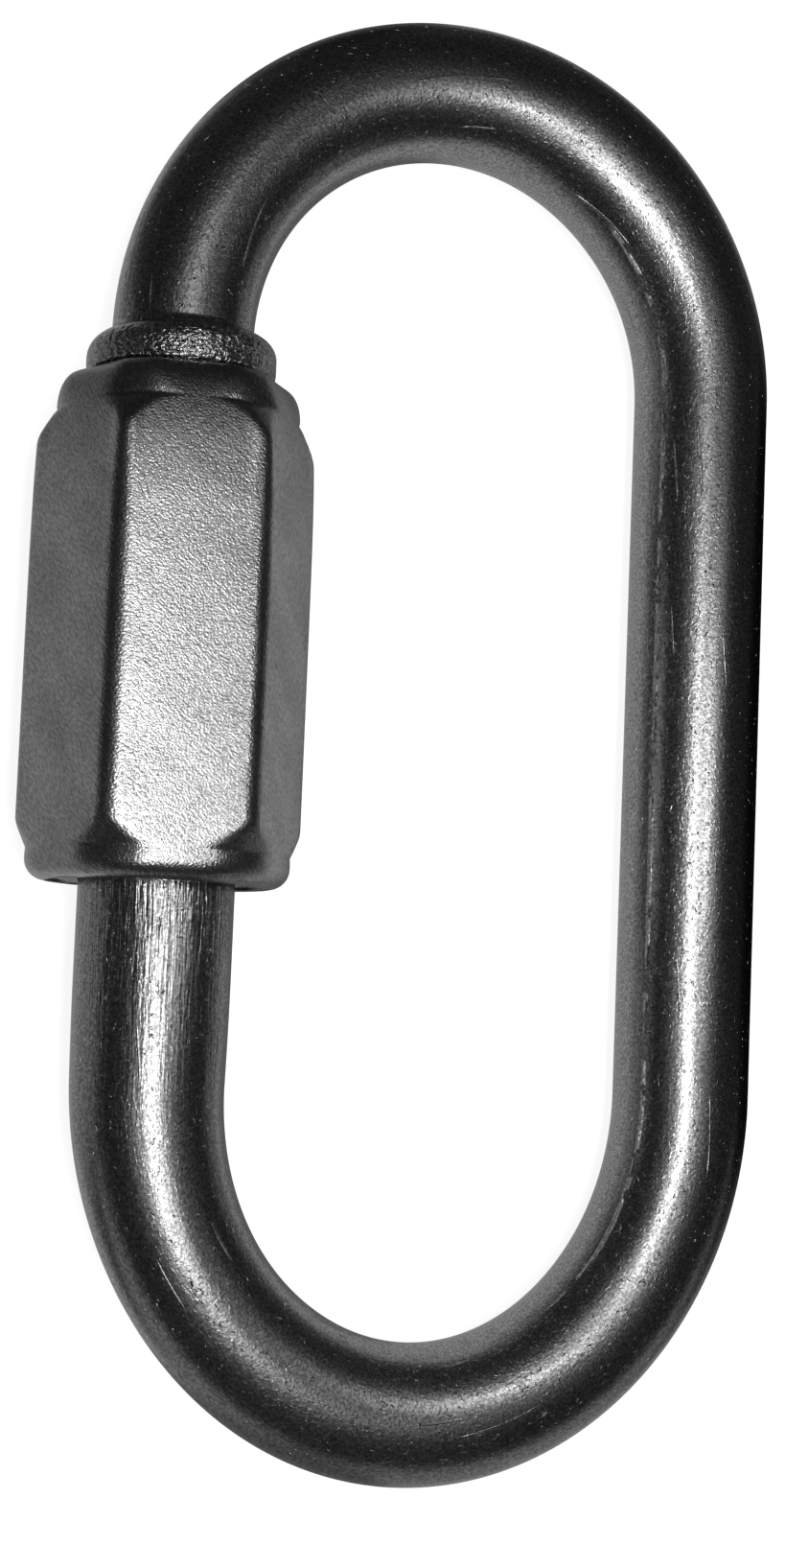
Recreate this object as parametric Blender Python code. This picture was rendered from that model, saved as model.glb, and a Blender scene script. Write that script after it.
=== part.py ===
"""Chain quick link: a round steel rod bent into a long ring, closed by a hexagonal sleeve nut.

The rod is one piece. Its upper end is a short threaded stud under a raised collar, and its lower end
is a threaded arm. The nut bridges the throat between the two ends and slides down the arm to open it.
The link lies as it comes to rest: on the nut's flat and on the plain arm, so its plane leans a little.
World frame: +Y along the arms towards the collar, +X towards the plain arm, +Z up, in metres.
"""

import math

import bmesh
import bpy
from mathutils import Vector

# Rod and bends
ROD_RADIUS = 0.0020
ARM_SPACING = 0.01625
STRAIGHT_LENGTH = 0.0208
TOP_BOW_HEIGHT = 0.0084
BOTTOM_BOW_HEIGHT = 0.0092

# The lower arm is a little thicker where its thread was rolled, and tapers off into the bow
ARM_SWELL = 0.00018
SWELL_TAPER_START = 0.0026
SWELL_TAPER_LENGTH = 0.0102

# Thread, drawn as a plain cylinder over its crests
THREAD_RISE = 0.0004
STUD_LENGTH = 0.0034
THROAT_OPENING = 0.0056
ARM_THREAD_LENGTH = 0.0050
TIP_CHAMFER = 0.0004
THREAD_RELIEF_LENGTH = 0.0006
RUNOUT_LENGTH = 0.0003

# Collar, upset from the rod just where the top bow begins
COLLAR_HEIGHT_ON_ARM = 0.0094
COLLAR_LEDGE = 0.00028
COLLAR_SIDE_HEIGHT = 0.0005
COLLAR_LIP_HEIGHT = 0.0006

# Sleeve nut
NUT_LENGTH = 0.0142
NUT_WALL = 0.00114
NUT_CORNER_RADIUS = 0.00075
THREAD_CLEARANCE = 0.00005
SEAT_GAP = 0.0001
TOP_COUNTERSINK = 0.0001
COUNTERBORE_STEP = 0.0004
COUNTERBORE_DEPTH = 0.0032
MOUTH_FLARE = 0.0003

# Rim at each end of the nut: the flats run down onto it, and a notch sets it off from the corners
TOP_RIM_INSET = 0.00018
TOP_RIM_HEIGHT = 0.0011
TOP_SHOULDER_HEIGHT = 0.0013
BOTTOM_RIM_INSET = 0.0
BOTTOM_RIM_HEIGHT = 0.0009
BOTTOM_SHOULDER_HEIGHT = 0.0009
RIM_EDGE_RADIUS = 0.00058
NOTCH_DEPTH = 0.00006
NOTCH_HALF_WIDTH = 0.00018
FLAT_RUN_ON = 0.0016
CORNER_SHARE = 0.45

# Facets
ROD_SIDES = 28
BOW_STEPS = 30
FLAT_STEPS = 8
CORNER_STEPS = 5
CURVE_STEPS = 6

ARM_X = ARM_SPACING / 2
STRAIGHT_TOP = STRAIGHT_LENGTH / 2
THREAD_RADIUS = ROD_RADIUS + THREAD_RISE
COLLAR_RADIUS = THREAD_RADIUS + COLLAR_LEDGE
BORE_RADIUS = THREAD_RADIUS + THREAD_CLEARANCE
NUT_APOTHEM = BORE_RADIUS + NUT_WALL
NUT_CORNER_REACH = (NUT_APOTHEM - NUT_CORNER_RADIUS) / math.cos(math.pi / 6) + NUT_CORNER_RADIUS
NUT_TOP = COLLAR_HEIGHT_ON_ARM - (COLLAR_RADIUS - BORE_RADIUS - TOP_COUNTERSINK) - SEAT_GAP
STUD_TIP = NUT_TOP - STUD_LENGTH
ARM_TIP = STUD_TIP - THROAT_OPENING
REST_TILT = math.asin((NUT_APOTHEM - ROD_RADIUS) / ARM_SPACING)


def steel(name, grey, roughness):
    """A plain steel material."""
    material = bpy.data.materials.new(name)
    material.use_nodes = True
    shader = material.node_tree.nodes["Principled BSDF"]
    shader.inputs["Base Color"].default_value = (grey, grey, grey, 1)
    shader.inputs["Metallic"].default_value = 1.0
    shader.inputs["Roughness"].default_value = roughness
    material.diffuse_color = (grey, grey, grey, 1)
    return material


def loft(name, rings, closed_tube, material):
    """A closed mesh through rings of equal count. A tube's last ring joins its first; a bar gets caps."""
    shape = bmesh.new()
    loops = [[shape.verts.new(point) for point in ring] for ring in rings]
    pairs = list(zip(loops, loops[1:]))
    if closed_tube:
        pairs.append((loops[-1], loops[0]))
    else:
        shape.faces.new(loops[0])
        shape.faces.new(loops[-1])
    for near, far in pairs:
        for i in range(len(near)):
            j = (i + 1) % len(near)
            shape.faces.new((near[i], near[j], far[j], far[i]))
    bmesh.ops.recalc_face_normals(shape, faces=shape.faces)
    if shape.calc_volume(signed=True) < 0:
        bmesh.ops.reverse_faces(shape, faces=shape.faces)
    mesh = bpy.data.meshes.new(name)
    shape.to_mesh(mesh)
    shape.free()
    mesh.shade_smooth()
    mesh.set_sharp_from_angle(angle=math.radians(35))
    mesh.materials.append(material)
    piece = bpy.data.objects.new(name, mesh)
    bpy.context.scene.collection.objects.link(piece)
    return piece


def quarter_curve(steps):
    """Sine and cosine pairs round a quarter turn, ends included."""
    turns = [math.pi / 2 * i / steps for i in range(steps + 1)]
    return [(math.sin(turn), math.cos(turn)) for turn in turns]


def left_arm_station(height):
    """Centre and direction of the rod at a height on the nut's side, from the straight run up."""
    if height > STRAIGHT_TOP:
        turn = math.asin((height - STRAIGHT_TOP) / TOP_BOW_HEIGHT)
        return top_bow_station(turn)
    return Vector((-ARM_X, height, 0)), Vector((0, 1, 0))


def top_bow_station(turn):
    """The top bow is half an ellipse, from the nut's side at 0 to the plain arm at pi."""
    centre = Vector((-ARM_X * math.cos(turn), STRAIGHT_TOP + TOP_BOW_HEIGHT * math.sin(turn), 0))
    along = Vector((ARM_X * math.sin(turn), TOP_BOW_HEIGHT * math.cos(turn), 0))
    return centre, along.normalized()


def bottom_bow_station(turn):
    """The bottom bow is half an ellipse, from the plain arm at 0 to the nut's side at pi."""
    centre = Vector((ARM_X * math.cos(turn), -STRAIGHT_TOP - BOTTOM_BOW_HEIGHT * math.sin(turn), 0))
    along = Vector((-ARM_X * math.sin(turn), -BOTTOM_BOW_HEIGHT * math.cos(turn), 0))
    return centre, along.normalized()


def lower_arm_radius(height):
    """Full swell near the nut, easing to the plain rod down in the bow."""
    start = ARM_TIP - ARM_THREAD_LENGTH - SWELL_TAPER_START
    past = min(max((start - height) / SWELL_TAPER_LENGTH, 0), 1)
    return ROD_RADIUS + ARM_SWELL * (1 - past * past * (3 - 2 * past))


def stud_stations():
    """The upper stud from its tip to the relief under the collar."""
    relief_top = COLLAR_HEIGHT_ON_ARM - (COLLAR_RADIUS - ROD_RADIUS)
    relief_bottom = relief_top - THREAD_RELIEF_LENGTH
    return [
        (left_arm_station(STUD_TIP), THREAD_RADIUS - TIP_CHAMFER),
        (left_arm_station(STUD_TIP + TIP_CHAMFER), THREAD_RADIUS),
        (left_arm_station(relief_bottom - THREAD_RISE), THREAD_RADIUS),
        (left_arm_station(relief_bottom), ROD_RADIUS),
        (left_arm_station(relief_top), ROD_RADIUS),
    ]


def collar_stations():
    """A conical seat below, a short side, and a rounded lip that runs back into the rod."""
    side_top = COLLAR_HEIGHT_ON_ARM + COLLAR_SIDE_HEIGHT
    stations = [(left_arm_station(COLLAR_HEIGHT_ON_ARM), COLLAR_RADIUS)]
    for rise, spread in quarter_curve(CURVE_STEPS):
        height = side_top + COLLAR_LIP_HEIGHT * rise
        stations.append((left_arm_station(height), ROD_RADIUS + (COLLAR_RADIUS - ROD_RADIUS) * spread))
    return stations


def bow_turns(first, last):
    """Even turns from one end of a bow to the other, passing exactly through its crown."""
    half = BOW_STEPS // 2
    rise = [first + (math.pi / 2 - first) * i / half for i in range(half + 1)]
    fall = [math.pi / 2 + (last - math.pi / 2) * i / half for i in range(1, half + 1)]
    return rise + fall


def bow_stations():
    """Both bows with the plain arm between them, up to where the thicker lower arm begins."""
    lip_top = COLLAR_HEIGHT_ON_ARM + COLLAR_SIDE_HEIGHT + COLLAR_LIP_HEIGHT
    first = math.asin(max(lip_top - STRAIGHT_TOP, 0) / TOP_BOW_HEIGHT)
    top = [(top_bow_station(turn), ROD_RADIUS) for turn in bow_turns(first, math.pi)[1:]]
    bottom = []
    for turn in bow_turns(0, math.pi):
        station = bottom_bow_station(turn)
        on_nut_side = turn > math.pi / 2
        radius = lower_arm_radius(station[0].y) if on_nut_side else ROD_RADIUS
        bottom.append((station, radius))
    return top + bottom


def threaded_arm_stations():
    """The straight lower arm, the run-out of its thread, the thread and its tip."""
    thread_bottom = ARM_TIP - ARM_THREAD_LENGTH
    swell_start = thread_bottom - SWELL_TAPER_START
    stations = []
    for i in range(1, CURVE_STEPS):
        height = -STRAIGHT_TOP + (swell_start + STRAIGHT_TOP) * i / (CURVE_STEPS - 1)
        stations.append((left_arm_station(height), lower_arm_radius(height)))
    stations.append((left_arm_station(thread_bottom - RUNOUT_LENGTH), ROD_RADIUS + ARM_SWELL))
    stations.append((left_arm_station(thread_bottom), THREAD_RADIUS))
    stations.append((left_arm_station(ARM_TIP - TIP_CHAMFER), THREAD_RADIUS))
    stations.append((left_arm_station(ARM_TIP), THREAD_RADIUS - TIP_CHAMFER))
    return stations


def rod_ring(station, radius):
    """A circle of points square to the rod."""
    centre, along = station
    side = Vector((along.y, -along.x, 0))
    ring = []
    for i in range(ROD_SIDES):
        turn = 2 * math.pi * i / ROD_SIDES
        ring.append(centre + radius * (math.cos(turn) * side + math.sin(turn) * Vector((0, 0, 1))))
    return ring


def make_link_body():
    """The bent rod with its stud, collar and threaded arm, all one piece."""
    stations = stud_stations() + collar_stations() + bow_stations() + threaded_arm_stations()
    rings = [rod_ring(station, radius) for station, radius in stations]
    return loft("link_body", rings, False, steel("rod_steel", 0.42, 0.28))


def hexagon_reach(turn):
    """Distance from the nut's axis to its rounded hexagon, with a flat facing turn 0."""
    sixth = math.pi / 3
    from_flat = abs((turn + sixth / 2) % sixth - sixth / 2)
    corner_centre = (NUT_APOTHEM - NUT_CORNER_RADIUS) / math.cos(sixth / 2)
    flat_end = math.atan2(corner_centre * math.sin(sixth / 2), NUT_APOTHEM)
    if from_flat <= flat_end:
        return NUT_APOTHEM / math.cos(from_flat)
    off = sixth / 2 - from_flat
    across = corner_centre * math.sin(off)
    return corner_centre * math.cos(off) + math.sqrt(NUT_CORNER_RADIUS**2 - across**2)


def nut_turns():
    """Angles round the nut, closer together on the rounded corners than on the flats."""
    sixth = math.pi / 3
    corner_centre = (NUT_APOTHEM - NUT_CORNER_RADIUS) / math.cos(sixth / 2)
    flat_end = math.atan2(corner_centre * math.sin(sixth / 2), NUT_APOTHEM)
    turns = []
    for side in range(6):
        middle = side * sixth
        for i in range(FLAT_STEPS):
            turns.append(middle - flat_end + 2 * flat_end * i / FLAT_STEPS)
        for i in range(CORNER_STEPS):
            turns.append(middle + flat_end + (sixth - 2 * flat_end) * i / CORNER_STEPS)
    return turns


def smooth_step(share):
    """0 to 1 with level ends."""
    share = min(max(share, 0), 1)
    return share * share * (3 - 2 * share)


def round_shoulder(share):
    """A quarter round that leaves the notch square to the axis."""
    return math.sqrt(1 - (1 - share) ** 2)


def hollow_shoulder(share):
    """A hollow that leaves the notch along the axis."""
    return share**2


def end_reach(turn, depth, rim_inset, rim_height, shoulder_height, shoulder):
    """Reach at a depth below the nut's end. A flat runs on gently to the rim, a corner drops to its notch."""
    hexagon = hexagon_reach(turn)
    rim = NUT_APOTHEM - rim_inset
    corner_share = (hexagon - NUT_APOTHEM) / (NUT_CORNER_REACH - NUT_APOTHEM)
    corner = smooth_step(corner_share / CORNER_SHARE)
    past_notch = min(max((depth - rim_height) / shoulder_height, 0), 1)
    on_flat = smooth_step((depth - RIM_EDGE_RADIUS) / FLAT_RUN_ON)
    grown = corner * shoulder(past_notch) + (1 - corner) * on_flat
    to_edge = max(1 - depth / RIM_EDGE_RADIUS, 0)
    rounding = RIM_EDGE_RADIUS * (1 - math.sqrt(1 - to_edge**2))
    notch = NOTCH_DEPTH * corner * (1 - smooth_step(abs(depth - rim_height) / NOTCH_HALF_WIDTH))
    return rim + (hexagon - rim) * grown - rounding - notch


def end_depths(rim_height, shoulder_height):
    """Depths below the nut's end for rings: over the rounded edge, along the rim and up the shoulder."""
    edge = [RIM_EDGE_RADIUS * (1 - cosine) for _, cosine in quarter_curve(CURVE_STEPS)]
    rim = [rim_height - NOTCH_HALF_WIDTH, rim_height]
    full = max(rim_height + shoulder_height, RIM_EDGE_RADIUS + FLAT_RUN_ON)
    steps = 2 * CURVE_STEPS
    return edge + rim + [rim_height + (full - rim_height) * (i / steps) ** 1.5 for i in range(1, steps + 1)]


def nut_ring(turns, height, reaches):
    """A ring square to the nut's axis, with its own reach at each turn."""
    return [
        Vector((reach * math.sin(turn), height, reach * math.cos(turn)))
        for turn, reach in zip(turns, reaches)
    ]


def bore_ring(turns, height, radius):
    """A round ring square to the nut's axis."""
    return nut_ring(turns, height, [radius] * len(turns))


def nut_outside(turns):
    """Rings down the outside of the nut, from its top land to its bottom land."""
    top_form = (TOP_RIM_INSET, TOP_RIM_HEIGHT, TOP_SHOULDER_HEIGHT, round_shoulder)
    bottom_form = (BOTTOM_RIM_INSET, BOTTOM_RIM_HEIGHT, BOTTOM_SHOULDER_HEIGHT, hollow_shoulder)
    rings = []
    for depth in end_depths(TOP_RIM_HEIGHT, TOP_SHOULDER_HEIGHT):
        rings.append(nut_ring(turns, -depth, [end_reach(turn, depth, *top_form) for turn in turns]))
    for depth in reversed(end_depths(BOTTOM_RIM_HEIGHT, BOTTOM_SHOULDER_HEIGHT)):
        reaches = [end_reach(turn, depth, *bottom_form) for turn in turns]
        rings.append(nut_ring(turns, depth - NUT_LENGTH, reaches))
    return rings


def make_nut():
    """A hexagonal sleeve with rimmed ends: its top mouth seats on the collar, its bottom mouth is wide."""
    turns = nut_turns()
    counterbore = BORE_RADIUS + COUNTERBORE_STEP
    shoulder_depth = COUNTERBORE_DEPTH + COUNTERBORE_STEP
    rings = nut_outside(turns)
    rings.append(bore_ring(turns, -NUT_LENGTH, counterbore + MOUTH_FLARE))
    rings.append(bore_ring(turns, MOUTH_FLARE - NUT_LENGTH, counterbore))
    rings.append(bore_ring(turns, COUNTERBORE_DEPTH - NUT_LENGTH, counterbore))
    rings.append(bore_ring(turns, shoulder_depth - NUT_LENGTH, BORE_RADIUS))
    rings.append(bore_ring(turns, -TOP_COUNTERSINK, BORE_RADIUS))
    rings.append(bore_ring(turns, 0, BORE_RADIUS + TOP_COUNTERSINK))
    return loft("hex_nut", rings, True, steel("nut_steel", 0.5, 0.35))


def rest_frame():
    """The link's own frame, leaning so that the nut's flat and the plain arm both touch the ground."""
    frame = bpy.data.objects.new("rest_frame", None)
    bpy.context.scene.collection.objects.link(frame)
    frame.rotation_euler = (0, REST_TILT, 0)
    frame.location = (
        (NUT_CORNER_REACH - ROD_RADIUS) / 2,
        (BOTTOM_BOW_HEIGHT - TOP_BOW_HEIGHT) / 2,
        ROD_RADIUS + ARM_X * math.sin(REST_TILT),
    )
    return frame


def build():
    """Clears the scene and makes the link, at rest and closed."""
    for leftover in list(bpy.data.objects):
        bpy.data.objects.remove(leftover, do_unlink=True)
    frame = rest_frame()
    link_body = make_link_body()
    link_body.parent = frame
    nut = make_nut()
    nut.parent = frame
    nut.location = (-ARM_X, NUT_TOP, 0)
    nut.rotation_euler = (0, -REST_TILT, 0)


build()
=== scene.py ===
"""Looks for the chain quick link: the rod and the nut meshed finely, with real threads and satin steel.

The rod is a tube of rings along its bent centre line, and the nut is a sleeve of rings along its axis.
Both take their place from the frame. Lengths are in metres, in the frame's axes: +Y along the arms
towards the collar, +X towards the plain arm, +Z up.
"""

import math

import bpy
import numpy as np
from mathutils import Matrix, Vector


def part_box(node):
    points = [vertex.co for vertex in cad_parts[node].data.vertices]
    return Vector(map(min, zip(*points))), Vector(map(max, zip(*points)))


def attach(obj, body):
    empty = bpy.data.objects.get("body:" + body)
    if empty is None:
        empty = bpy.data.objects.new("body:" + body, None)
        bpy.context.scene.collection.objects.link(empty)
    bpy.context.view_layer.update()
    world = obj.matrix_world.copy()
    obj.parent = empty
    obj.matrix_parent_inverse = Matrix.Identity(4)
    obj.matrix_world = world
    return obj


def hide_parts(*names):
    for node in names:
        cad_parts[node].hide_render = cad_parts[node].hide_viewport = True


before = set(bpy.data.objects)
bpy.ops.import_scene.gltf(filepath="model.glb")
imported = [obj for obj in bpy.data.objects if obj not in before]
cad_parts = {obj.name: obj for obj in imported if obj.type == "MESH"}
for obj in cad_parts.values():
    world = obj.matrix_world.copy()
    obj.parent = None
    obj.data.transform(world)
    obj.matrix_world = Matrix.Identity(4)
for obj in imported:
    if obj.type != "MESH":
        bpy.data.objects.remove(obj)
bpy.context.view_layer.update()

# Camera: close above the link, a little to the nut's side and towards the bottom bow
PHOTO_WIDTH = 819
PHOTO_HEIGHT = 1635
FOCAL_LENGTH_PIXELS = 2657
SENSOR_MILLIMETRES = 36
CAMERA_AZIMUTH = math.radians(-13.6)
CAMERA_TILT = math.radians(-5.1)
CAMERA_ROLL = math.radians(2.3)
CAMERA_DISTANCE = 0.0733
CAMERA_TARGET = Vector((-0.00028, -0.00135, 0.0029))

# Rod
ROD_RADIUS = 0.0020
TOP_BOW_HEIGHT = 0.0084
BOTTOM_BOW_HEIGHT = 0.0092
ARM_SWELL = 0.00018
SWELL_TAPER_START = 0.0026
SWELL_TAPER_LENGTH = 0.0102

# Thread: rolled up above the rod's surface, with play between its crests and the nut's roots
THREAD_PITCH = 0.00075
THREAD_CREST = 0.0024
THREAD_ROOT = 0.00206
NUT_THREAD_ROOT = 0.00248
NUT_THREAD_CREST = 0.00221
CREST_SHARE = 0.18
STUD_LENGTH = 0.0034
THROAT_OPENING = 0.0056
ARM_THREAD_LENGTH = 0.0050
THREAD_RELIEF_LENGTH = 0.0006
TIP_CHAMFER = 0.0004
TIP_FACE_SHARES = (0.02, 0.5, 0.9, 1.0)

# Collar: a conical seat, a short side and a rounded lip that leans down on the link's outer side
COLLAR_RADIUS = 0.00268
COLLAR_ABOVE_NUT = 0.00023
COLLAR_SIDE_HEIGHT = 0.0005
COLLAR_LIP_HEIGHT = 0.0006
COLLAR_LEAN = 0.0003
COLLAR_LEAN_START = 0.3
COLLAR_TOP_LEAN_LOSS = 0.4
SEAT_EDGE_HEIGHT = 0.00012
SEAT_EDGE_INSET = 0.00004

# Nut: a rounded hexagon between two turned ends, over a stepped bore
NUT_CORNER_RADIUS = 0.00075
FLAT_CROWN = 0.000035
BORE_RADIUS = 0.00245
TOP_COUNTERSINK = 0.0001
COUNTERBORE_RADIUS = 0.00285
COUNTERBORE_DEPTH = 0.0032
MOUTH_FLARE = 0.0003
TOP_LEAN = 0.0004
TOP_LEAN_DEPTH = 0.0018
TOP_LEAN_END = 0.007
CORNER_LEAN_SHARE = 0.4
CORNER_TURN_START = math.radians(22)
CORNER_TURN_SPAN = math.radians(8)
TOP_RIM_RADIUS = 0.00343
TOP_RIM_HEIGHT = 0.0011
TOP_SHOULDER_HEIGHT = 0.0012
TOP_SHOULDER_BULGE = 0.9
TOP_NOTCH_DEPTH = 0.00003
BOTTOM_RIM_PROUD = 0.00009
BOTTOM_RIM_HEIGHT = 0.00087
BOTTOM_SHOULDER_HEIGHT = 0.00092
BOTTOM_NOTCH_DEPTH = 0.00001
BOTTOM_SHOULDER_HOLLOW = 1.15
SHOULDER_SOFTNESS = 0.0001
RIM_EDGE_RADIUS = 0.00058
TOP_EDGE_DEPTH = 0.0012
NOTCH_HALF_WIDTH = 0.00018

# Rod's finish: darkest and palest grey, least and most roughness, and the heights of its bumps
ROD_GREYS = (0.28, 0.62)
ROD_ROUGHNESS = (0.275, 0.29)
ROD_GRAIN_HEIGHT = 0.000004
FLAKE_HEIGHT = 0.0000065
DRAW_LINE_HEIGHT = 0.00005
COLLAR_GRAIN_HEIGHT = 0.0001
SPECK_HEIGHT = 0.00003
SCRATCH_HEIGHT = 0.000014
SCRATCH_SLANT = math.radians(5)
RIDGE_TURN = math.radians(32)
RIDGE_HALF_WIDTH = 0.00003
RIDGE_HEIGHT = 0.00006
RIDGE_START_SHARE = 0.5
RIDGE_RISE_SHARE = 0.4

# Draw lines start inside the nut and fade below it: most of them at once, and the rest farther down
LINES_INSIDE_NUT = 0.004
LINES_FIRST_FADE = 0.004
LINES_FIRST_FADE_SHARE = 0.6
LINES_REST_START = 0.003
LINES_REST_FADE = 0.006

# The collar is granular from just below its edge up to its lip
GRANULAR_BELOW_EDGE = 0.0003
GRANULAR_ABOVE_EDGE = 0.0009

# The bottom bow is rubbed rougher around its middle
RUBBED_START = 0.013
RUBBED_REACH = 0.0035
RUBBED_OFF_MIDDLE = 0.0015
RUBBED_ROUGHER = 0.04

# Nut's finish, the same way, with painted shade darkening it towards the top end, which is also rougher
NUT_GREYS = (0.44, 0.76)
NUT_ROUGHNESS = (0.28, 0.3)
NUT_GRAIN_HEIGHT = 0.000009
STROKE_HEIGHT = 0.000014
STROKE_SLANT = math.radians(45)
NICK_HEIGHT = 0.00001
BLOTCH_SHARE = 0.78
SEAM_TURN = math.radians(210)
# Painted shade towards the nut's top end: how far down it reaches, and the share of grey left at the end
TOP_SHADE_LENGTH = 0.0040
TOP_SHADE_SHARE = 0.7
TOP_RIM_ROUGHER = 0.04

# Paper, which glows: how bright it looks, and how bright the steel mirrors it near the link and farther off,
# with painted light and shade in those reflections
PAPER_GREY = 0.75
PAPER_SEEN = 0.9
PAPER_MIRRORED = 0.38
PAPER_MIRRORED_TWICE = 0.05
PAPER_BRIGHT_REACH = 0.0045
PAPER_DARK_REACH = 0.0085
PAPER_BESIDE_NUT_SHARE = 0.62
PAPER_PAST_BOW_SHARE = 0.6
PAPER_EYE_SHARE = 0.4
PAPER_FAR_SHARE = 0.08
EYE_SHADE_FROM = -0.0005
EYE_SHADE_TO = 0.001

# Room: how bright it looks, and how bright the steel mirrors it
ROOM_SEEN = 0.95
ROOM_MIRRORED = 0.016

# Lights that face down: name, place, size along X and Y, and power in watts
LIGHTS = (
    ("near_lamp", (0.018, 0.003, 0.053), (0.007, 0.007), 0.0017),
    ("soft_box", (-0.010, -0.015, 0.110), (0.012, 0.060), 0.0280),
    ("panel_top", (-0.005, 0.044, 0.098), (0.060, 0.012), 0.0018),
    ("panel_mid", (-0.001, 0.030, 0.095), (0.018, 0.046), 0.0008),
    ("side", (0.048, 0.012, 0.095), (0.030, 0.030), 0.0012),
    ("low", (0.012, -0.032, 0.095), (0.020, 0.020), 0.0030),
    ("left_low", (-0.040, -0.030, 0.095), (0.040, 0.040), 0.0016),
)

# Mesh density: points around each piece, and rings along each stretch
ROD_AROUND = 160
NUT_AROUND = 216
TOP_BOW_RINGS = 150
PLAIN_ARM_RINGS = 80
BOTTOM_BOW_RINGS = 170
LOWER_ARM_RINGS = 40
NUT_EDGE_RINGS = 18
NUT_RIM_RINGS = 14
NUT_SHOULDER_RINGS = 40
NUT_MIDDLE_RINGS = 14
RINGS_PER_PITCH = 14
THREAD_STEP = THREAD_PITCH / RINGS_PER_PITCH

nut_low, nut_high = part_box("hex_nut")
rod_low, rod_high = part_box("link_body")
NUT_AXIS = Vector(((nut_low.x + nut_high.x) / 2, 0, (nut_low.z + nut_high.z) / 2))
NUT_APOTHEM = (nut_high.z - nut_low.z) / 2
NUT_CORNER_REACH = (nut_high.x - nut_low.x) / 2
PLAIN_AXIS = Vector((rod_high.x - ROD_RADIUS, 0, ROD_RADIUS))
LINK_MIDDLE = (NUT_AXIS + PLAIN_AXIS) / 2
ACROSS = (PLAIN_AXIS - NUT_AXIS).normalized()
OUT_OF_PLANE = ACROSS.cross(Vector((0, 1, 0)))
ARM_X = (PLAIN_AXIS - NUT_AXIS).length / 2
REST_TILT = math.atan2(-ACROSS.z, ACROSS.x)
STRAIGHT_TOP = rod_high.y - ROD_RADIUS - TOP_BOW_HEIGHT
STRAIGHT_BOTTOM = rod_low.y + ROD_RADIUS + BOTTOM_BOW_HEIGHT
NUT_TOP = nut_high.y
NUT_BOTTOM = nut_low.y
COLLAR_EDGE = NUT_TOP + COLLAR_ABOVE_NUT
STUD_TIP = NUT_TOP - STUD_LENGTH
ARM_TIP = STUD_TIP - THROAT_OPENING
THREAD_BOTTOM = ARM_TIP - ARM_THREAD_LENGTH


def make_camera():
    """The photograph's view of the link where it lies."""
    data = bpy.data.cameras.new("camera")
    data.sensor_width = SENSOR_MILLIMETRES
    data.lens = FOCAL_LENGTH_PIXELS * SENSOR_MILLIMETRES / max(PHOTO_WIDTH, PHOTO_HEIGHT)
    data.clip_start = 0.001
    data.clip_end = 10
    camera = bpy.data.objects.new("camera", data)
    bpy.context.scene.collection.objects.link(camera)
    flat = math.cos(CAMERA_TILT)
    back = Vector((math.sin(CAMERA_AZIMUTH) * flat, math.sin(CAMERA_TILT), math.cos(CAMERA_AZIMUTH) * flat))
    right = Vector((0, 1, 0)).cross(back).normalized()
    up = back.cross(right)
    turned_right = math.cos(CAMERA_ROLL) * right + math.sin(CAMERA_ROLL) * up
    turned_up = math.cos(CAMERA_ROLL) * up - math.sin(CAMERA_ROLL) * right
    place = Matrix((turned_right, turned_up, back)).transposed().to_4x4()
    place.translation = CAMERA_TARGET + CAMERA_DISTANCE * back
    camera.matrix_world = place
    bpy.context.scene.camera = camera


def smooth_step(share):
    """0 to 1 with level ends."""
    share = np.clip(share, 0, 1)
    return share * share * (3 - 2 * share)


def thread_tooth(height, turn):
    """0 at a right-hand thread's root and 1 on its crest, at a height and a turn about the nut's axis."""
    phase = (height / THREAD_PITCH - turn / (2 * math.pi)) % 1
    rise = 1 - np.abs(2 * phase - 1)
    return smooth_step((rise - CREST_SHARE) / (1 - 2 * CREST_SHARE))


def mesh_object(name, points, faces, material):
    """A smooth-shaded piece from points and faces."""
    mesh = bpy.data.meshes.new(name)
    mesh.from_pydata(points.tolist(), [], faces)
    mesh.validate()
    mesh.shade_smooth()
    mesh.materials.append(material)
    piece = bpy.data.objects.new(name, mesh)
    bpy.context.scene.collection.objects.link(piece)
    return piece


def grid_faces(rings, around, closed):
    """Quads between rings of points. A closed grid joins its last ring to its first."""
    faces = []
    for i in range(rings if closed else rings - 1):
        near = i * around
        far = (i + 1) % rings * around
        for j in range(around):
            k = (j + 1) % around
            faces.append((near + j, near + k, far + k, far + j))
    return faces


def store(piece, name, kind, values):
    """A named attribute with a value for each vertex, for the material."""
    attribute = piece.data.attributes.new(name, kind, "POINT")
    field = "vector" if kind == "FLOAT_VECTOR" else "value"
    attribute.data.foreach_set(field, np.ascontiguousarray(values, np.float32).ravel())


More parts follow.
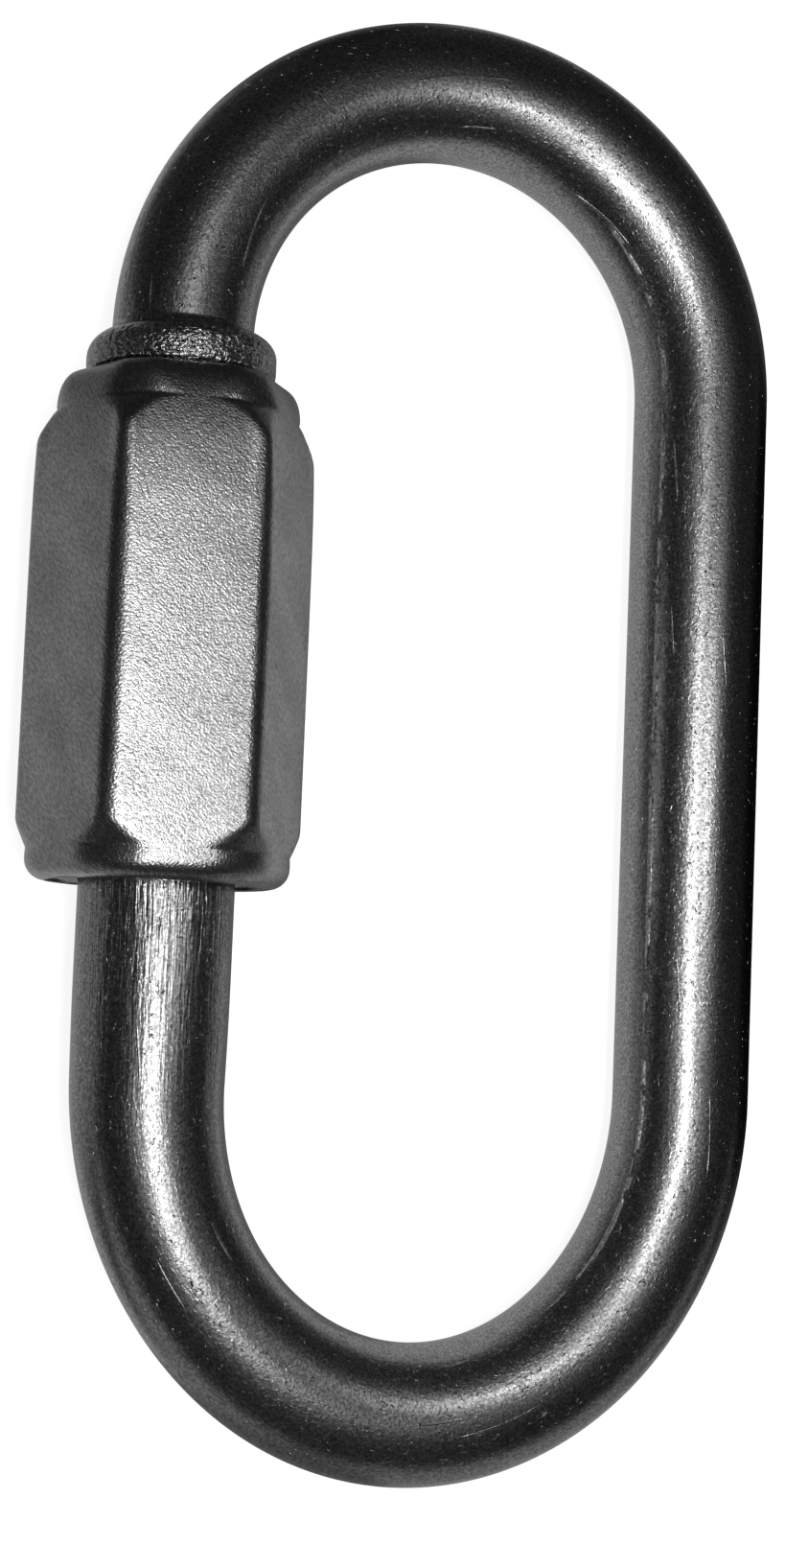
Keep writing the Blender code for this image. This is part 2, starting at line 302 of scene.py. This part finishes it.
class RodPath:
    """The rod's rings along its centre line: place, direction, radius, share of thread and lean of each."""

    def __init__(self):
        self.places = []
        self.directions = []
        self.radii = []
        self.threads = []
        self.leans = []

    def add(self, place, direction, radius, thread=0.0, lean=0.0):
        self.places.append(place)
        self.directions.append(direction)
        self.radii.append(radius)
        self.threads.append(thread)
        self.leans.append(lean)

    def on_nut_arm(self, height, radius, thread=0.0, lean=0.0):
        """A ring on the nut's side, where the top bow has begun above the straight run."""
        if height > STRAIGHT_TOP:
            self.on_top_bow(math.asin((height - STRAIGHT_TOP) / TOP_BOW_HEIGHT), radius, lean)
        else:
            self.add((-ARM_X, height), (0, 1), radius, thread, lean)

    def on_top_bow(self, turn, radius, lean=0.0):
        """The top bow is half an ellipse, from the nut's side at 0."""
        place = (-ARM_X * math.cos(turn), STRAIGHT_TOP + TOP_BOW_HEIGHT * math.sin(turn))
        self.add(place, (ARM_X * math.sin(turn), TOP_BOW_HEIGHT * math.cos(turn)), radius, lean=lean)

    def on_bottom_bow(self, turn, radius):
        """The bottom bow is half an ellipse, from the plain arm at 0."""
        place = (ARM_X * math.cos(turn), STRAIGHT_BOTTOM - BOTTOM_BOW_HEIGHT * math.sin(turn))
        self.add(place, (-ARM_X * math.sin(turn), -BOTTOM_BOW_HEIGHT * math.cos(turn)), radius)


def lower_arm_radius(height):
    """Full swell near the nut, easing to the plain rod down in the bow."""
    past = (THREAD_BOTTOM - SWELL_TAPER_START - height) / SWELL_TAPER_LENGTH
    return ROD_RADIUS + ARM_SWELL * (1 - smooth_step(past))


def add_stud(path):
    """From the sawn tip through the thread to the relief under the collar."""
    relief_top = COLLAR_EDGE - (COLLAR_RADIUS - ROD_RADIUS)
    relief_bottom = relief_top - THREAD_RELIEF_LENGTH
    for share in TIP_FACE_SHARES:
        path.on_nut_arm(STUD_TIP, share * (THREAD_CREST - TIP_CHAMFER))
    for height in np.arange(STUD_TIP + THREAD_STEP, relief_bottom, THREAD_STEP):
        grown = smooth_step((height - STUD_TIP) / TIP_CHAMFER)
        fade = smooth_step((relief_bottom - height) / TIP_CHAMFER)
        path.on_nut_arm(height, THREAD_CREST - TIP_CHAMFER * (1 - grown), grown * fade)
    for share in np.linspace(0, 1, 5):
        path.on_nut_arm(relief_bottom + THREAD_RELIEF_LENGTH * share, ROD_RADIUS)


def add_collar(path):
    """The conical seat with its softened edge, the short side and the lip that rounds back into the rod."""
    ledge = COLLAR_RADIUS - ROD_RADIUS
    for share in np.linspace(0.1, 0.97, 8):
        path.on_nut_arm(COLLAR_EDGE - ledge * (1 - share), ROD_RADIUS + ledge * share)
    for turn in np.linspace(0, math.pi / 2, 6):
        height = COLLAR_EDGE + SEAT_EDGE_HEIGHT * (1 - math.cos(turn))
        path.on_nut_arm(height, COLLAR_RADIUS - SEAT_EDGE_INSET * (1 - math.sin(turn)))
    for share in np.linspace(COLLAR_LEAN_START, 1, 6):
        lean = COLLAR_LEAN * (share - COLLAR_LEAN_START)
        path.on_nut_arm(COLLAR_EDGE + COLLAR_SIDE_HEIGHT * share, COLLAR_RADIUS, lean=lean)
    for turn in np.linspace(0, math.pi / 2, 20)[1:]:
        height = COLLAR_EDGE + COLLAR_SIDE_HEIGHT + COLLAR_LIP_HEIGHT * math.sin(turn)
        lean = COLLAR_LEAN * (1 - COLLAR_LEAN_START - COLLAR_TOP_LEAN_LOSS * math.sin(turn))
        path.on_nut_arm(height, ROD_RADIUS + ledge * math.cos(turn), lean=lean)


def add_bows(path):
    """The top bow, the plain arm and the bottom bow, up to the straight lower arm."""
    lip_top = COLLAR_EDGE + COLLAR_SIDE_HEIGHT + COLLAR_LIP_HEIGHT
    first = math.asin((lip_top - STRAIGHT_TOP) / TOP_BOW_HEIGHT)
    for turn in np.linspace(first, math.pi, TOP_BOW_RINGS)[1:]:
        path.on_top_bow(turn, ROD_RADIUS)
    for height in np.linspace(STRAIGHT_TOP, STRAIGHT_BOTTOM, PLAIN_ARM_RINGS)[1:-1]:
        path.add((ARM_X, height), (0, -1), ROD_RADIUS)
    for turn in np.linspace(0, math.pi, BOTTOM_BOW_RINGS):
        height = STRAIGHT_BOTTOM - BOTTOM_BOW_HEIGHT * math.sin(turn)
        path.on_bottom_bow(turn, lower_arm_radius(height) if turn > math.pi / 2 else ROD_RADIUS)


def add_threaded_arm(path):
    """The lower arm, the run-out of its thread, the thread and its sawn tip."""
    for height in np.linspace(STRAIGHT_BOTTOM, THREAD_BOTTOM - 2 * THREAD_STEP, LOWER_ARM_RINGS)[1:]:
        path.on_nut_arm(height, lower_arm_radius(height))
    for height in np.arange(THREAD_BOTTOM, ARM_TIP - THREAD_STEP, THREAD_STEP):
        grown = smooth_step((height - THREAD_BOTTOM) / THREAD_PITCH)
        fade = smooth_step((ARM_TIP - height) / TIP_CHAMFER)
        radius = ROD_RADIUS + ARM_SWELL + (THREAD_CREST - ROD_RADIUS - ARM_SWELL) * grown
        path.on_nut_arm(height, radius - TIP_CHAMFER * (1 - fade), grown * fade)
    for share in reversed(TIP_FACE_SHARES):
        path.on_nut_arm(ARM_TIP, share * (THREAD_CREST - TIP_CHAMFER))


def inner_ridge(places, turns):
    """A thin raised line left by bending, along the inside of the plain arm and into both bows."""
    on_plain_side = smooth_step((places[:, 0] - RIDGE_START_SHARE * ARM_X) / (RIDGE_RISE_SHARE * ARM_X))
    off = (turns - RIDGE_TURN) * ROD_RADIUS / RIDGE_HALF_WIDTH
    return on_plain_side[:, None] * np.exp(-off * off)


def draw_lines(on_nut_side, heights):
    """How strongly each ring shows the lines left by drawing: only near the nut's lower end."""
    is_low = on_nut_side & (heights < NUT_BOTTOM + LINES_INSIDE_NUT)
    below_nut = NUT_BOTTOM - heights
    first = LINES_FIRST_FADE_SHARE * smooth_step(below_nut / LINES_FIRST_FADE)
    rest = (1 - LINES_FIRST_FADE_SHARE) * smooth_step((below_nut - LINES_REST_START) / LINES_REST_FADE)
    return np.where(is_low, 1 - first - rest, 0)


def rubbing(places):
    """How far each ring is rubbed rough: around the middle of the bottom bow."""
    in_bow = smooth_step((-places[:, 1] - RUBBED_START) / RUBBED_REACH)
    in_middle = 1 - smooth_step(np.abs(places[:, 0] + RUBBED_OFF_MIDDLE) / (2 * RUBBED_REACH))
    return in_bow * in_middle


def store_finish(piece, places, turns):
    """Where the rod's draw lines, granular collar, ridge and rubbed stretch are."""
    heights = places[:, 1]
    on_nut_side = places[:, 0] < 0
    past_edge = heights - COLLAR_EDGE
    is_collar = on_nut_side & (past_edge > -GRANULAR_BELOW_EDGE) & (past_edge < GRANULAR_ABOVE_EDGE)
    store(piece, "streaks", "FLOAT", np.repeat(draw_lines(on_nut_side, heights), ROD_AROUND))
    store(piece, "granular", "FLOAT", np.repeat(is_collar.astype(float), ROD_AROUND))
    store(piece, "ridge", "FLOAT", inner_ridge(places, turns))
    store(piece, "rubbed", "FLOAT", np.repeat(rubbing(places), ROD_AROUND))


def make_link_body(material):
    """The bent rod with its threads and collar."""
    path = RodPath()
    add_stud(path)
    add_collar(path)
    add_bows(path)
    add_threaded_arm(path)
    places = np.array(path.places)
    directions = np.array(path.directions)
    directions /= np.linalg.norm(directions, axis=1)[:, None]
    turns = 2 * math.pi * np.arange(ROD_AROUND) / ROD_AROUND
    about_axis = math.pi / 2 - turns + REST_TILT
    tooth = thread_tooth(places[:, 1][:, None], about_axis[None, :])
    depth = (THREAD_CREST - THREAD_ROOT) * np.array(path.threads)[:, None] * (1 - tooth)
    radius = np.array(path.radii)[:, None] - depth
    sideways = radius * np.cos(turns)
    outward = radius * np.sin(turns)
    x = places[:, :1] + sideways * directions[:, 1:]
    y = places[:, 1:] - sideways * directions[:, :1]
    points = np.array(LINK_MIDDLE) + x[..., None] * np.array(ACROSS)
    points += outward[..., None] * np.array(OUT_OF_PLANE)
    lowered = np.array(path.leans)[:, None] * np.maximum(-np.cos(turns), 0)
    points[..., 1] += y - lowered
    rings = len(places)
    faces = grid_faces(rings, ROD_AROUND, False)
    faces.append(tuple(range(ROD_AROUND)))
    faces.append(tuple(range(rings * ROD_AROUND - 1, (rings - 1) * ROD_AROUND - 1, -1)))
    faces = [face[::-1] for face in faces]
    piece = mesh_object("bent_rod", points.reshape(-1, 3), faces, material)
    steps = np.linalg.norm(np.diff(places, axis=0), axis=1)
    along = np.concatenate([[0], np.cumsum(steps)])[:, None] + np.zeros_like(radius)
    straight_x = ROD_RADIUS * np.cos(turns) + 0 * radius
    straight_y = ROD_RADIUS * np.sin(turns) + 0 * radius
    store(piece, "unbent", "FLOAT_VECTOR", np.stack([straight_x, straight_y, along], -1))
    from_underside = (turns + math.pi / 2) % (2 * math.pi) * ROD_RADIUS + 0 * radius
    store(piece, "unrolled", "FLOAT_VECTOR", np.stack([from_underside, along, 0 * radius], -1))
    store_finish(piece, places, turns)
    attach(piece, "link")
    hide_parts("link_body")
    return piece


def off_flat(turn):
    """The turn away from the middle of the nearest flat, with a flat facing turn 0."""
    sixth = math.pi / 3
    return np.abs((turn + sixth / 2) % sixth - sixth / 2)


def hexagon_reach(turn):
    """Distance from the nut's axis to its rounded hexagon, whose flats are slightly crowned by polishing."""
    from_flat = off_flat(turn)
    corner_centre = (NUT_APOTHEM - NUT_CORNER_RADIUS) / math.cos(math.pi / 6)
    off = math.pi / 6 - from_flat
    across = corner_centre * np.sin(off)
    corner = corner_centre * np.cos(off) + np.sqrt(np.maximum(NUT_CORNER_RADIUS**2 - across**2, 0))
    flat_end = math.atan2(corner_centre * math.sin(math.pi / 6), NUT_APOTHEM)
    from_middle = np.minimum(np.tan(from_flat) / math.tan(flat_end), 1)
    plain = np.where(from_flat <= flat_end, NUT_APOTHEM / np.cos(from_flat), corner)
    return plain - FLAT_CROWN * from_middle**2


def soft_least(first, second):
    """The lesser of two reaches, with the edge where they cross rounded off."""
    near = np.maximum(SHOULDER_SOFTNESS - np.abs(first - second), 0) / SHOULDER_SOFTNESS
    return np.minimum(first, second) - near * near * SHOULDER_SOFTNESS / 4


def edge_rounding(depth, radius, power):
    """How far the rounded edge has drawn the rim in, at a depth below the nut's end."""
    to_edge = max(1 - depth / radius, 0)
    return RIM_EDGE_RADIUS * (1 - math.sqrt(1 - to_edge**power))


def notch(depth, rim_height, notch_depth):
    """How deep the groove between the rim and the shoulder is, at a depth below the nut's end."""
    return notch_depth * (1 - smooth_step(abs(depth - rim_height) / NOTCH_HALF_WIDTH))


def top_lean(turns, depth):
    """How far the sides lean in towards the top end, less at the corners than over the flats."""
    falling = (1 - smooth_step(depth / TOP_LEAN_END)) / (1 + (depth / TOP_LEAN_DEPTH) ** 2)
    at_corner = smooth_step((off_flat(turns) - CORNER_TURN_START) / CORNER_TURN_SPAN)
    return TOP_LEAN * falling * (1 - (1 - CORNER_LEAN_SHARE) * at_corner)


def top_reach(turns, depth):
    """Reach below the top end. The flats run on through the turned rim, and the corners end in shoulders."""
    past_notch = min(max((depth - TOP_RIM_HEIGHT) / TOP_SHOULDER_HEIGHT, 0), 1)
    full = NUT_CORNER_REACH + SHOULDER_SOFTNESS
    turned = TOP_RIM_RADIUS + (full - TOP_RIM_RADIUS) * past_notch**TOP_SHOULDER_BULGE
    turned -= notch(depth, TOP_RIM_HEIGHT, TOP_NOTCH_DEPTH)
    sides = hexagon_reach(turns) - top_lean(turns, depth)
    return soft_least(sides, turned) - edge_rounding(depth, TOP_EDGE_DEPTH, 3)


def bottom_reach(turns, depth):
    """Reach above the bottom end: the hexagon, trimmed by a rim with a slightly hollow shoulder."""
    past_notch = min(max((depth - BOTTOM_RIM_HEIGHT) / BOTTOM_SHOULDER_HEIGHT, 0), 1)
    rim = NUT_APOTHEM + BOTTOM_RIM_PROUD
    full = NUT_CORNER_REACH + SHOULDER_SOFTNESS
    turned = rim + (full - rim) * past_notch**BOTTOM_SHOULDER_HOLLOW
    turned -= notch(depth, BOTTOM_RIM_HEIGHT, BOTTOM_NOTCH_DEPTH)
    return soft_least(hexagon_reach(turns), turned) - edge_rounding(depth, RIM_EDGE_RADIUS, 2)


def end_depths(rim_height, full_height):
    """Depths below the nut's end for rings: over the rounded edge, along the rim and up the shoulder."""
    edge = RIM_EDGE_RADIUS * (1 - np.cos(np.linspace(0, math.pi / 2, NUT_EDGE_RINGS)))
    rim = np.linspace(RIM_EDGE_RADIUS, rim_height, NUT_RIM_RINGS)[1:]
    shoulder = rim_height + (full_height - rim_height) * np.linspace(0, 1, NUT_SHOULDER_RINGS)[1:] ** 1.5
    return np.concatenate([edge, rim, shoulder])


def nut_outside(turns):
    """Rings down the outside of the nut, from its top land to its bottom land, as heights and reaches."""
    upper = [(NUT_TOP - depth, top_reach(turns, depth)) for depth in end_depths(TOP_RIM_HEIGHT, TOP_LEAN_END)]
    bottom_full = BOTTOM_RIM_HEIGHT + BOTTOM_SHOULDER_HEIGHT
    lower = []
    for depth in end_depths(BOTTOM_RIM_HEIGHT, bottom_full)[::-1]:
        lower.append((NUT_BOTTOM + depth, bottom_reach(turns, depth)))
    middle = np.linspace(upper[-1][0], lower[0][0], NUT_MIDDLE_RINGS)[1:-1]
    return upper + [(height, hexagon_reach(turns)) for height in middle] + lower


def nut_inside(turns):
    """Rings up the inside of the nut: the flared mouth, the counterbore, the thread and the seat."""
    rings = []
    for share in np.linspace(0, 1, 5):
        radius = COUNTERBORE_RADIUS + MOUTH_FLARE * (1 - share)
        rings.append((NUT_BOTTOM + MOUTH_FLARE * share, np.full_like(turns, radius)))
    counterbore_top = NUT_BOTTOM + COUNTERBORE_DEPTH
    for share in np.linspace(0, 1, 10)[1:]:
        height = NUT_BOTTOM + MOUTH_FLARE + (COUNTERBORE_DEPTH - MOUTH_FLARE) * share
        rings.append((height, np.full_like(turns, COUNTERBORE_RADIUS)))
    thread_bottom = counterbore_top + COUNTERBORE_RADIUS - BORE_RADIUS
    thread_top = NUT_TOP - TOP_COUNTERSINK
    for height in np.arange(thread_bottom, thread_top, THREAD_STEP):
        fade = smooth_step((height - thread_bottom) / TIP_CHAMFER)
        fade *= smooth_step((thread_top - height) / TIP_CHAMFER)
        tooth = thread_tooth(height, turns)
        threaded = NUT_THREAD_CREST + (NUT_THREAD_ROOT - NUT_THREAD_CREST) * tooth
        rings.append((height, BORE_RADIUS + (threaded - BORE_RADIUS) * fade))
    rings.append((thread_top, np.full_like(turns, BORE_RADIUS)))
    rings.append((NUT_TOP, np.full_like(turns, BORE_RADIUS + TOP_COUNTERSINK)))
    return rings


def make_nut(material):
    """The hexagonal sleeve with its turned ends and its thread."""
    turns = 2 * math.pi * np.arange(NUT_AROUND) / NUT_AROUND
    outside = nut_outside(turns)
    rings = outside + nut_inside(turns)
    heights = np.array([height for height, _ in rings])
    reach = np.array([reach for _, reach in rings])
    points = np.empty((*reach.shape, 3))
    points[..., 0] = NUT_AXIS.x + reach * np.sin(turns)
    points[..., 1] = heights[:, None]
    points[..., 2] = NUT_AXIS.z + reach * np.cos(turns)
    faces = grid_faces(len(rings), NUT_AROUND, True)
    piece = mesh_object("sleeve_nut", points.reshape(-1, 3), faces, material)
    from_lowest_corner = (turns + SEAM_TURN) % (2 * math.pi)
    around = from_lowest_corner * NUT_APOTHEM + 0 * reach
    unrolled = np.stack([around, heights[:, None] + 0 * reach, 0 * reach], -1)
    store(piece, "unrolled", "FLOAT_VECTOR", unrolled)
    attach(piece, "nut")
    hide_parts("hex_nut")
    return piece


class Nodes:
    """Small helper that adds nodes to a material and links them as they are made."""

    def __init__(self, name):
        self.material = bpy.data.materials.new(name)
        self.material.use_nodes = True
        self.tree = self.material.node_tree
        self.shader = self.tree.nodes["Principled BSDF"]

    def connect(self, source, target):
        self.tree.links.new(source, target)

    def put(self, socket, value):
        if isinstance(value, bpy.types.NodeSocket):
            self.connect(value, socket)
        else:
            socket.default_value = value

    def attribute(self, name):
        node = self.tree.nodes.new("ShaderNodeAttribute")
        node.attribute_name = name
        return node

    def stretched(self, vector, scale):
        node = self.tree.nodes.new("ShaderNodeMapping")
        node.inputs["Scale"].default_value = scale
        self.connect(vector, node.inputs["Vector"])
        return node.outputs["Vector"]

    def turned(self, vector, angle):
        node = self.tree.nodes.new("ShaderNodeMapping")
        node.inputs["Rotation"].default_value = (0, 0, angle)
        self.connect(vector, node.inputs["Vector"])
        return node.outputs["Vector"]

    def noise(self, vector, scale, detail=2.0, roughness=0.5):
        node = self.tree.nodes.new("ShaderNodeTexNoise")
        node.inputs["Scale"].default_value = scale
        node.inputs["Detail"].default_value = detail
        node.inputs["Roughness"].default_value = roughness
        self.connect(vector, node.inputs["Vector"])
        return node.outputs["Fac"]

    def math(self, operation, first, second=0.0):
        node = self.tree.nodes.new("ShaderNodeMath")
        node.operation = operation
        self.put(node.inputs[0], first)
        self.put(node.inputs[1], second)
        return node.outputs["Value"]

    def ramp(self, value, low, high, to_low=0.0, to_high=1.0):
        node = self.tree.nodes.new("ShaderNodeMapRange")
        node.interpolation_type = "SMOOTHSTEP"
        self.connect(value, node.inputs["Value"])
        node.inputs["From Min"].default_value = low
        node.inputs["From Max"].default_value = high
        node.inputs["To Min"].default_value = to_low
        node.inputs["To Max"].default_value = to_high
        return node.outputs["Result"]

    def mix_colour(self, share, first, second):
        node = self.tree.nodes.new("ShaderNodeMix")
        node.data_type = "RGBA"
        self.put(node.inputs["Factor"], share)
        self.put(node.inputs["A"], first)
        self.put(node.inputs["B"], second)
        return node.outputs["Result"]

    def bump(self, height, distance, strength=1.0, before=None):
        node = self.tree.nodes.new("ShaderNodeBump")
        node.inputs["Distance"].default_value = distance
        self.put(node.inputs["Strength"], strength)
        self.connect(height, node.inputs["Height"])
        if before is not None:
            self.connect(before, node.inputs["Normal"])
        return node.outputs["Normal"]


def grey(value):
    return (value, value, value, 1)


def rod_steel():
    """Satin-polished rod: grain, flakes, specks and scratches, draw lines, a granular collar and a ridge."""
    n = Nodes("rod_satin_steel")
    unbent = n.attribute("unbent").outputs["Vector"]
    unrolled = n.attribute("unrolled").outputs["Vector"]
    streaks = n.attribute("streaks").outputs["Fac"]
    granular = n.attribute("granular").outputs["Fac"]
    rubbed = n.attribute("rubbed").outputs["Fac"]
    ridge_here = n.attribute("ridge").outputs["Fac"]
    clouds = n.noise(unbent, scale=450, detail=4, roughness=0.6)
    grain = n.noise(unbent, scale=13000, detail=1)
    flakes = n.noise(n.stretched(unbent, (1, 1, 0.5)), scale=11000, roughness=0.6)
    lines = n.noise(n.stretched(unbent, (1, 1, 0.07)), scale=9000, roughness=0.6)
    coarse = n.noise(unbent, scale=7000, roughness=0.6)
    specks = n.ramp(n.noise(n.stretched(unbent, (1, 1, 0.6)), scale=9000, detail=0), 0.74, 0.8)
    slanted = n.stretched(n.turned(unrolled, SCRATCH_SLANT), (1, 0.03, 1))
    scratches = n.ramp(n.noise(slanted, scale=6500, detail=0), 0.77, 0.83)
    ridge_breaks = n.ramp(n.noise(unbent, scale=1500, detail=1), 0.4, 0.55)
    n.shader.inputs["Metallic"].default_value = 1.0
    steel = n.mix_colour(n.ramp(grain, 0.3, 0.7), grey(ROD_GREYS[0]), grey(ROD_GREYS[1]))
    n.connect(steel, n.shader.inputs["Base Color"])
    rougher = n.math("MULTIPLY", rubbed, RUBBED_ROUGHER)
    rough = n.math("ADD", n.ramp(clouds, 0.3, 0.7, *ROD_ROUGHNESS), rougher)
    n.connect(rough, n.shader.inputs["Roughness"])
    fine = n.bump(grain, ROD_GRAIN_HEIGHT)
    flaked = n.bump(n.ramp(flakes, 0.5, 0.8), FLAKE_HEIGHT, n.ramp(clouds, 0.3, 0.7, 0.4, 1.0), fine)
    lined = n.bump(lines, DRAW_LINE_HEIGHT, streaks, flaked)
    pitted = n.bump(coarse, COLLAR_GRAIN_HEIGHT, granular, lined)
    specked = n.bump(specks, SPECK_HEIGHT, 1.0, pitted)
    scratched = n.bump(scratches, SCRATCH_HEIGHT, 1.0, specked)
    ridged = n.bump(ridge_here, RIDGE_HEIGHT, ridge_breaks, scratched)
    n.connect(ridged, n.shader.inputs["Normal"])
    return n.material


def nut_steel():
    """Machined steel: a diagonal grain, blotches and nicks, with painted shade darkening it towards the top
    end, which is rougher too.
    """
    n = Nodes("nut_machined_steel")
    unrolled = n.attribute("unrolled").outputs["Vector"]
    place = n.tree.nodes.new("ShaderNodeSeparateXYZ")
    n.connect(unrolled, place.inputs["Vector"])
    height = place.outputs["Y"]
    slanted = n.turned(unrolled, STROKE_SLANT)
    clouds = n.noise(unrolled, scale=450, detail=4, roughness=0.6)
    strokes = n.noise(n.stretched(slanted, (0.45, 1, 1)), scale=13000, roughness=0.7)
    grain = n.noise(unrolled, scale=17000, detail=0)
    uneven = n.noise(n.stretched(slanted, (0.5, 1, 1)), scale=900)
    blotches = n.ramp(uneven, 0.3, 0.7, BLOTCH_SHARE, 1.0)
    nicks = n.ramp(n.noise(n.stretched(slanted, (0.12, 1, 1)), scale=7000, detail=1), 0.78, 0.84)
    n.shader.inputs["Metallic"].default_value = 1.0
    steel = n.mix_colour(n.ramp(strokes, 0.35, 0.65), grey(NUT_GREYS[0]), grey(NUT_GREYS[1]))
    # Painted shade: the base colour darkens towards the nut's top end, down to a share of its grey there
    painted_top_shade = n.ramp(height, NUT_TOP - TOP_SHADE_LENGTH, NUT_TOP, 1, TOP_SHADE_SHARE)
    shade = n.tree.nodes.new("ShaderNodeVectorMath")
    shade.operation = "SCALE"
    n.connect(steel, shade.inputs[0])
    n.connect(n.math("MULTIPLY", painted_top_shade, blotches), shade.inputs["Scale"])
    n.connect(shade.outputs["Vector"], n.shader.inputs["Base Color"])
    rougher = n.ramp(height, NUT_TOP - TOP_RIM_HEIGHT, NUT_TOP - RIM_EDGE_RADIUS, 0, TOP_RIM_ROUGHER)
    rough = n.math("ADD", n.ramp(clouds, 0.3, 0.7, *NUT_ROUGHNESS), rougher)
    n.connect(rough, n.shader.inputs["Roughness"])
    grained = n.bump(grain, NUT_GRAIN_HEIGHT)
    machined = n.bump(strokes, STROKE_HEIGHT, n.ramp(clouds, 0.3, 0.7, 0.6, 1.0), grained)
    n.connect(n.bump(nicks, NICK_HEIGHT, 1.0, machined), n.shader.inputs["Normal"])
    return n.material


def paper_light(n):
    """The share of painted light that the glowing paper gives the steel: full near the link, less where shade
    is painted on it or far off.
    """
    geometry = n.tree.nodes.new("ShaderNodeNewGeometry")
    place = n.tree.nodes.new("ShaderNodeSeparateXYZ")
    n.connect(geometry.outputs["Position"], place.inputs["Vector"])
    x = place.outputs["X"]
    y = place.outputs["Y"]
    along = n.math("ABSOLUTE", y)
    across = n.math("SUBTRACT", x, LINK_MIDDLE.x)
    past_straight = n.math("MAXIMUM", n.math("SUBTRACT", along, STRAIGHT_TOP), 0.0)
    squares = n.math("ADD", n.math("POWER", past_straight, 2.0), n.math("MULTIPLY", across, across))
    reach = n.math("SQRT", squares)
    near_link = n.ramp(reach, ARM_X + PAPER_BRIGHT_REACH, ARM_X + PAPER_DARK_REACH, 1, PAPER_FAR_SHARE)
    beside_arm = n.ramp(along, STRAIGHT_TOP, 2 * STRAIGHT_TOP, 1, 0)
    outside_nut = n.math("LESS_THAN", x, NUT_AXIS.x)
    beside_nut = n.math("MULTIPLY", outside_nut, beside_arm)
    past_bow = n.ramp(y, rod_low.y - ROD_RADIUS, rod_low.y, PAPER_PAST_BOW_SHARE, 0)
    lit = n.math("MAXIMUM", near_link, n.math("MULTIPLY", beside_nut, PAPER_BESIDE_NUT_SHARE))
    lit = n.math("MAXIMUM", lit, past_bow)
    # Painted shade on the paper between the nut's axis and the link's middle, seen only in the steel's
    # reflections
    in_eye = n.ramp(across, EYE_SHADE_FROM, EYE_SHADE_TO, PAPER_EYE_SHARE, 1)
    shaded = n.math("MAXIMUM", in_eye, outside_nut)
    # Painted shade on the paper past the plain arm beside its straight run, seen only in the steel's
    # reflections
    past_arm = n.ramp(x, rod_high.x - ROD_RADIUS, rod_high.x)
    unshaded_beyond_arm = n.math("SUBTRACT", 1.0, n.math("MULTIPLY", past_arm, beside_arm))
    return n.math("MULTIPLY", n.math("MULTIPLY", lit, shaded), unshaded_beyond_arm)


def paper():
    """Plain paper that glows: pale where it is looked at, and a mid grey where the steel mirrors it beside
    the link, with painted light and shade.
    """
    n = Nodes("paper")
    path = n.tree.nodes.new("ShaderNodeLightPath")
    seen = path.outputs["Is Camera Ray"]
    # The depth is 1 where the steel mirrors the paper straight to the eye, and 2 by way of more steel
    by_depth = n.ramp(path.outputs["Ray Depth"], 1.1, 1.9, PAPER_MIRRORED, PAPER_MIRRORED_TWICE)
    mirrored = n.math("MULTIPLY", by_depth, paper_light(n))
    n.connect(n.mix_colour(seen, grey(0), grey(PAPER_GREY)), n.shader.inputs["Base Color"])
    n.shader.inputs["Roughness"].default_value = 1.0
    n.shader.inputs["Specular IOR Level"].default_value = 0.0
    n.shader.inputs["Emission Color"].default_value = grey(1)
    strength = n.tree.nodes.new("ShaderNodeMix")
    n.connect(seen, strength.inputs["Factor"])
    n.connect(mirrored, strength.inputs["A"])
    strength.inputs["B"].default_value = PAPER_SEEN
    n.connect(strength.outputs["Result"], n.shader.inputs["Emission Strength"])
    return n.material


def make_floor():
    """A plain pale floor under the link."""
    reach = 1.0
    points = np.array([(-reach, -reach, 0), (reach, -reach, 0), (reach, reach, 0), (-reach, reach, 0)])
    floor = mesh_object("floor", points, [(0, 1, 2, 3)], paper())


def make_world():
    """A pale room to look at, and a dark one in the steel's reflections."""
    world = bpy.data.worlds.new("room")
    bpy.context.scene.world = world
    world.use_nodes = True
    nodes = world.node_tree.nodes
    links = world.node_tree.links
    path = nodes.new("ShaderNodeLightPath")
    share = nodes.new("ShaderNodeMapRange")
    share.inputs["To Min"].default_value = ROOM_MIRRORED
    share.inputs["To Max"].default_value = ROOM_SEEN
    links.new(path.outputs["Is Camera Ray"], share.inputs["Value"])
    links.new(share.outputs["Result"], nodes["Background"].inputs["Strength"])
    nodes["Background"].inputs["Color"].default_value = grey(1)


def make_light(name, place, size, power):
    """A plain soft rectangular light that faces down."""
    data = bpy.data.lights.new(name, "AREA")
    data.shape = "RECTANGLE"
    data.size, data.size_y = size
    data.energy = power
    light = bpy.data.objects.new(name, data)
    light.location = place
    bpy.context.scene.collection.objects.link(light)


def make_lights():
    """A bright soft box behind the camera, a small lamp near the plain arm and weak panels around."""
    for name, place, size, power in LIGHTS:
        make_light(name, place, size, power)


make_camera()
make_link_body(rod_steel())
make_nut(nut_steel())
make_floor()
make_world()
make_lights()
bpy.context.scene.view_settings.view_transform = "Standard"
